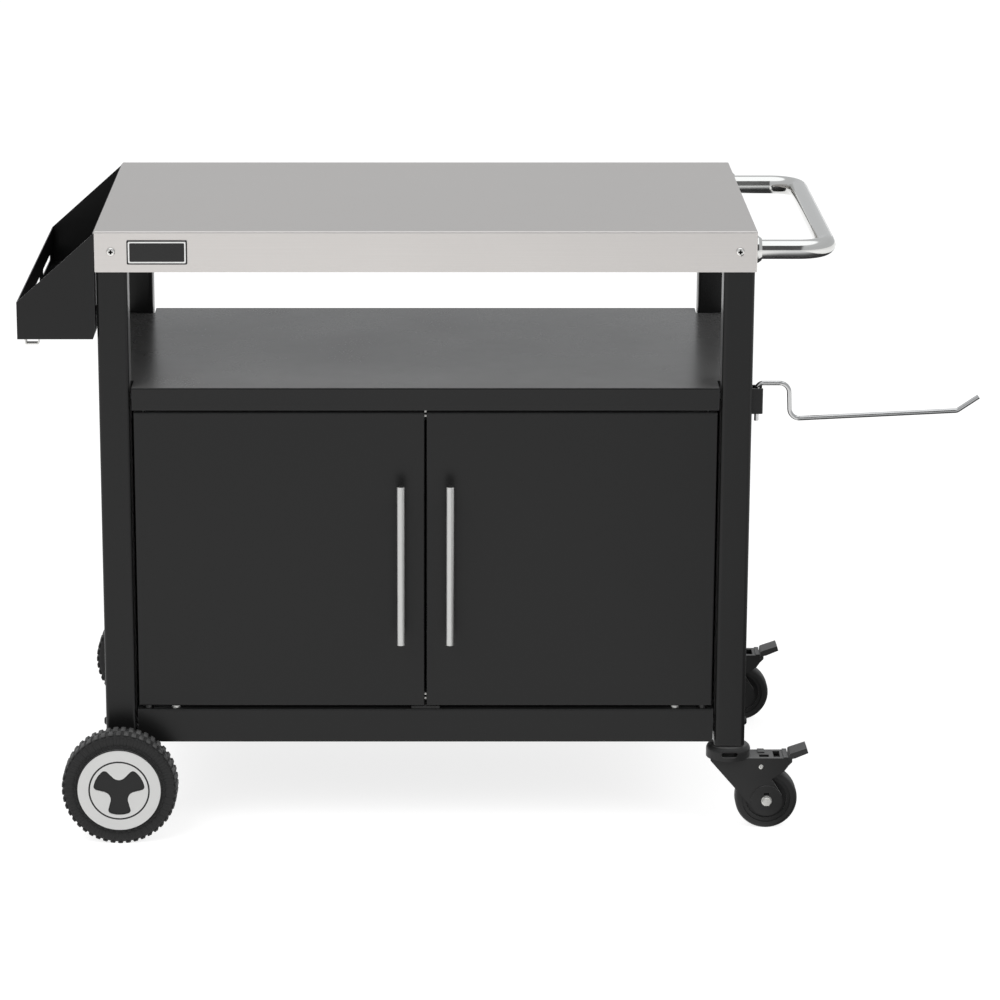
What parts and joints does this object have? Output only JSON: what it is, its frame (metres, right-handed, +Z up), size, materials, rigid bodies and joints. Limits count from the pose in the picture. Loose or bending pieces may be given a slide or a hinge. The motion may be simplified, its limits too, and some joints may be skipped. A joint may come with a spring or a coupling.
{
  "type": "grill cart with storage",
  "caption": "Outdoor grill cart: steel worktop, open shelf, cabinet with hinged doors, side tray, push handle, swinging hook, lugged wheels and braked swivel casters.",
  "frame": {"origin": "on the floor, under the middle of the whole cart's box", "axes": "+Z up, -Y towards the user who opens the doors, +X towards the push handle and the casters"},
  "size_m": [1.2454, 0.6126, 0.812],
  "materials": {
    "stainless_sheet": "brushed stainless sheet",
    "black_powder": "satin black powder coat",
    "bar_steel": "satin stainless bar",
    "chrome_tube": "polished chrome",
    "hook_wire": "plated round rod",
    "zinc_fixings": "zinc plated",
    "dark_fixings": "blackened steel",
    "catch_plastic": "moulded, fine texture",
    "wheel_tyre": "moulded black, worn lug tops",
    "wheel_plastic": "moulded black",
    "trim_disc": "bright satin disc",
    "caster_rubber": "dark grey tread",
    "caster_plastic": "moulded black nylon",
    "pedal_plastic": "moulded dark grey nylon"
  },
  "bodies": {
    "cart": {"table_top": "stainless_sheet", "top_channel_front": "stainless_sheet", "top_channel_rear": "stainless_sheet", "leg_front_left": "black_powder", "leg_rear_left": "black_powder", "leg_front_right": "black_powder", "leg_rear_right": "black_powder", "mid_shelf": "black_powder", "floor_panel": "black_powder", "side_panel_left": "black_powder", "side_panel_right": "black_powder", "back_panel": "black_powder", "tray_trough": "black_powder", "tray_end_front": "black_powder", "tray_end_rear": "black_powder", "tray_loop": "zinc_fixings", "tray_fixings": "dark_fixings", "push_handle": "chrome_tube", "handle_flanges": "chrome_tube", "handle_bolts": "zinc_fixings", "hook_socket": "black_powder", "upper_catch": "catch_plastic", "lower_catch": "catch_plastic", "catch_plates": "zinc_fixings", "hinge_pins": "dark_fixings", "shelf_fixings": "dark_fixings", "top_screws": "zinc_fixings", "floor_screws": "zinc_fixings", "wheel_axles": "zinc_fixings", "leg_plugs": "catch_plastic", "caster_inserts": "catch_plastic", "caster_stems": "zinc_fixings"},
    "left_door": {"door_left_panel": "black_powder", "door_left_handle": "bar_steel", "door_left_strikes": "zinc_fixings"},
    "right_door": {"door_right_panel": "black_powder", "door_right_handle": "bar_steel", "door_right_strikes": "zinc_fixings"},
    "swinging_hook": {"hook_rod": "hook_wire"},
    "front_wheel": {"wheel_front_tyre": "wheel_tyre", "wheel_front_hub": "wheel_plastic", "wheel_front_cap": "wheel_plastic", "wheel_front_trim": "trim_disc"},
    "front_caster": {"caster_front_fork": "caster_plastic", "caster_front_axle": "zinc_fixings", "caster_front_pin": "zinc_fixings"},
    "front_caster_wheel": {"caster_front_tyre": "caster_rubber", "caster_front_hub": "caster_plastic"},
    "front_brake": {"caster_front_pedal": "pedal_plastic"},
    "rear_wheel": {"wheel_rear_tyre": "wheel_tyre", "wheel_rear_hub": "wheel_plastic", "wheel_rear_cap": "wheel_plastic", "wheel_rear_trim": "trim_disc"},
    "rear_caster": {"caster_rear_fork": "caster_plastic", "caster_rear_axle": "zinc_fixings", "caster_rear_pin": "zinc_fixings"},
    "rear_caster_wheel": {"caster_rear_tyre": "caster_rubber", "caster_rear_hub": "caster_plastic"},
    "rear_brake": {"caster_rear_pedal": "pedal_plastic"}
  },
  "joints": [
    {"name": "left_door_hinge", "type": "hinge", "parent": "cart", "child": "left_door", "pos_m": [-0.4634, -0.2388, 0.37375], "axis": [0, 0, -1], "range_deg": [0, 105]},
    {"name": "right_door_hinge", "type": "hinge", "parent": "cart", "child": "right_door", "pos_m": [0.2692, -0.2388, 0.37375], "axis": [0, 0, 1], "range_deg": [0, 105]},
    {"name": "hook_swing", "type": "hinge", "parent": "cart", "child": "swinging_hook", "pos_m": [0.333, -0.2278, 0.585], "axis": [0, 0, 1], "range_deg": [-80, 90]},
    {"name": "front_wheel_spin", "type": "hinge", "parent": "cart", "child": "front_wheel", "pos_m": [-0.4999, -0.2838, 0.0762], "axis": [0, 1, 0], "continuous": true},
    {"name": "front_caster_swivel", "type": "hinge", "parent": "cart", "child": "front_caster", "pos_m": [0.3057, -0.2278, 0.112], "axis": [0, 0, 1], "continuous": true},
    {"name": "front_caster_roll", "type": "hinge", "parent": "front_caster", "child": "front_caster_wheel", "pos_m": [0.357, -0.2278, 0.04125], "axis": [0, 1, 0], "continuous": true},
    {"name": "front_brake_pivot", "type": "hinge", "parent": "front_caster", "child": "front_brake", "pos_m": [0.3487, -0.2278, 0.0885], "axis": [0, 1, 0], "range_deg": [0, 11]},
    {"name": "rear_wheel_spin", "type": "hinge", "parent": "cart", "child": "rear_wheel", "pos_m": [-0.4999, 0.2838, 0.0762], "axis": [0, 1, 0], "continuous": true},
    {"name": "rear_caster_swivel", "type": "hinge", "parent": "cart", "child": "rear_caster", "pos_m": [0.3057, 0.2278, 0.112], "axis": [0, 0, 1], "continuous": true},
    {"name": "rear_caster_roll", "type": "hinge", "parent": "rear_caster", "child": "rear_caster_wheel", "pos_m": [0.357, 0.2278, 0.04125], "axis": [0, 1, 0], "continuous": true},
    {"name": "rear_brake_pivot", "type": "hinge", "parent": "rear_caster", "child": "rear_brake", "pos_m": [0.3487, 0.2278, 0.0885], "axis": [0, 1, 0], "range_deg": [0, 11]}
  ]
}
